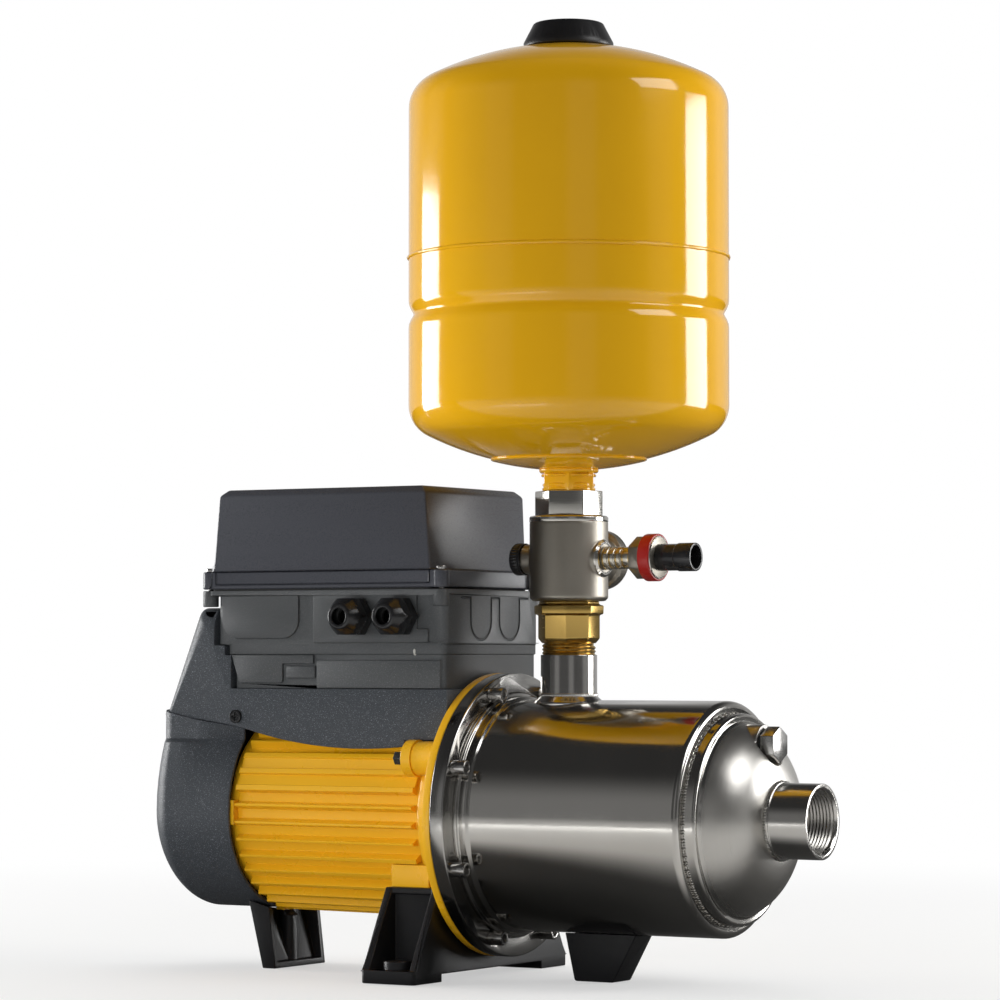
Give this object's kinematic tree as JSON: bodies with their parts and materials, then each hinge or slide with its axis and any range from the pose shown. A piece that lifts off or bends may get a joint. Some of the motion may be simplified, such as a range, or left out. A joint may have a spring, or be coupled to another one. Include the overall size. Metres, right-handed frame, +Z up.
{
  "type": "constant pressure pump",
  "caption": "Horizontal multistage water pump with motor-mounted speed controller, pressure sensor and a round pressure vessel on a column of fittings over its outlet.",
  "frame": {"origin": "on the floor, midway between the two bolt holes of the main foot", "axes": "+X along the shaft towards the inlet, +Z up, +Y away from the cable glands"},
  "size_m": [0.4806, 0.2084, 0.6163],
  "materials": {
    "yellow_paint": "gloss",
    "black_plastic": "fine grain",
    "black_gloss_plastic": "satin",
    "stainless_sheet": "brushed",
    "stainless_screw": "bright",
    "nickel_plate": "satin plated",
    "valve_brass": "machined",
    "steel_shaft": "ground",
    "core_steel": "laminated",
    "winding_copper": "lacquered",
    "red_ring": "satin",
    "seal_rubber": "matt",
    "white_ceramic": "polished",
    "board_green": "lacquered",
    "light_plastic": "moulded"
  },
  "bodies": {
    "pump": {"pump_casing": "stainless_sheet", "inlet_socket": "stainless_sheet", "outlet_socket": "stainless_sheet", "clamp_ring": "stainless_sheet", "flange_screws": "stainless_screw", "motor_bracket": "yellow_paint", "bracket_screws": "stainless_screw", "priming_plug": "stainless_screw", "plug_washer": "seal_rubber", "seal_plate": "stainless_sheet", "casing_o_ring": "seal_rubber", "seal_seat": "white_ceramic", "diffusers": "stainless_sheet", "suction_plate": "stainless_sheet", "motor_housing": "yellow_paint", "stator_core": "core_steel", "windings": "winding_copper", "bearing_outer_rings": "steel_shaft", "end_shield": "yellow_paint", "tie_bolts": "stainless_screw", "fan_cowl": "black_plastic", "upper_cowl": "black_plastic", "cowl_screws": "black_gloss_plastic", "controller_base": "black_plastic", "controller_lid": "black_plastic", "lid_gasket": "seal_rubber", "lid_screws": "stainless_screw", "circuit_board": "board_green", "gland_bodies": "black_gloss_plastic", "gland_nuts": "black_gloss_plastic", "gland_seals": "seal_rubber", "main_foot": "black_plastic", "pump_foot": "black_plastic", "rear_foot": "black_plastic", "foot_screws": "stainless_screw", "check_valve_body": "valve_brass", "valve_seat": "valve_brass", "five_way_body": "nickel_plate", "blanking_plug": "black_gloss_plastic", "sensor_nipple": "valve_brass", "sensor_body": "nickel_plate", "sensor_ring": "red_ring", "sensor_connector": "black_gloss_plastic", "hex_nipple": "nickel_plate", "tank_neck": "yellow_paint", "tank_lower_shell": "yellow_paint", "tank_upper_shell": "yellow_paint", "diaphragm": "seal_rubber", "air_valve_body": "valve_brass"},
    "rotating_set": {"shaft": "steel_shaft", "rotor": "core_steel", "cooling_fan": "black_plastic", "impellers": "stainless_sheet", "impeller_nut": "stainless_screw", "seal_ring": "steel_shaft", "bearing_inner_rings": "steel_shaft"},
    "poppet": {"poppet": "valve_brass", "poppet_spring": "stainless_screw"},
    "air_pin": {"air_valve_pin": "stainless_screw"},
    "cap": {"valve_cap": "black_plastic"}
  },
  "joints": [
    {"name": "shaft_spin", "type": "hinge", "parent": "pump", "child": "rotating_set", "pos_m": [0, 0, 0.104], "axis": [1, 0, 0], "continuous": true},
    {"name": "poppet_lift", "type": "slide", "parent": "pump", "child": "poppet", "axis": [0, 0, 1], "range_m": [0, 0.005], "stiffness_N_per_m": 300, "springref_m": -0.003, "deforming": ["poppet_spring"]},
    {"name": "air_pin_press", "type": "slide", "parent": "pump", "child": "air_pin", "axis": [0, 0, -1], "range_m": [0, 0.0015], "stiffness_N_per_m": 400, "springref_m": -0.001},
    {"name": "cap_off", "type": "slide", "parent": "pump", "child": "cap", "axis": [0, 0, 1], "range_m": [0, 0.03]}
  ]
}
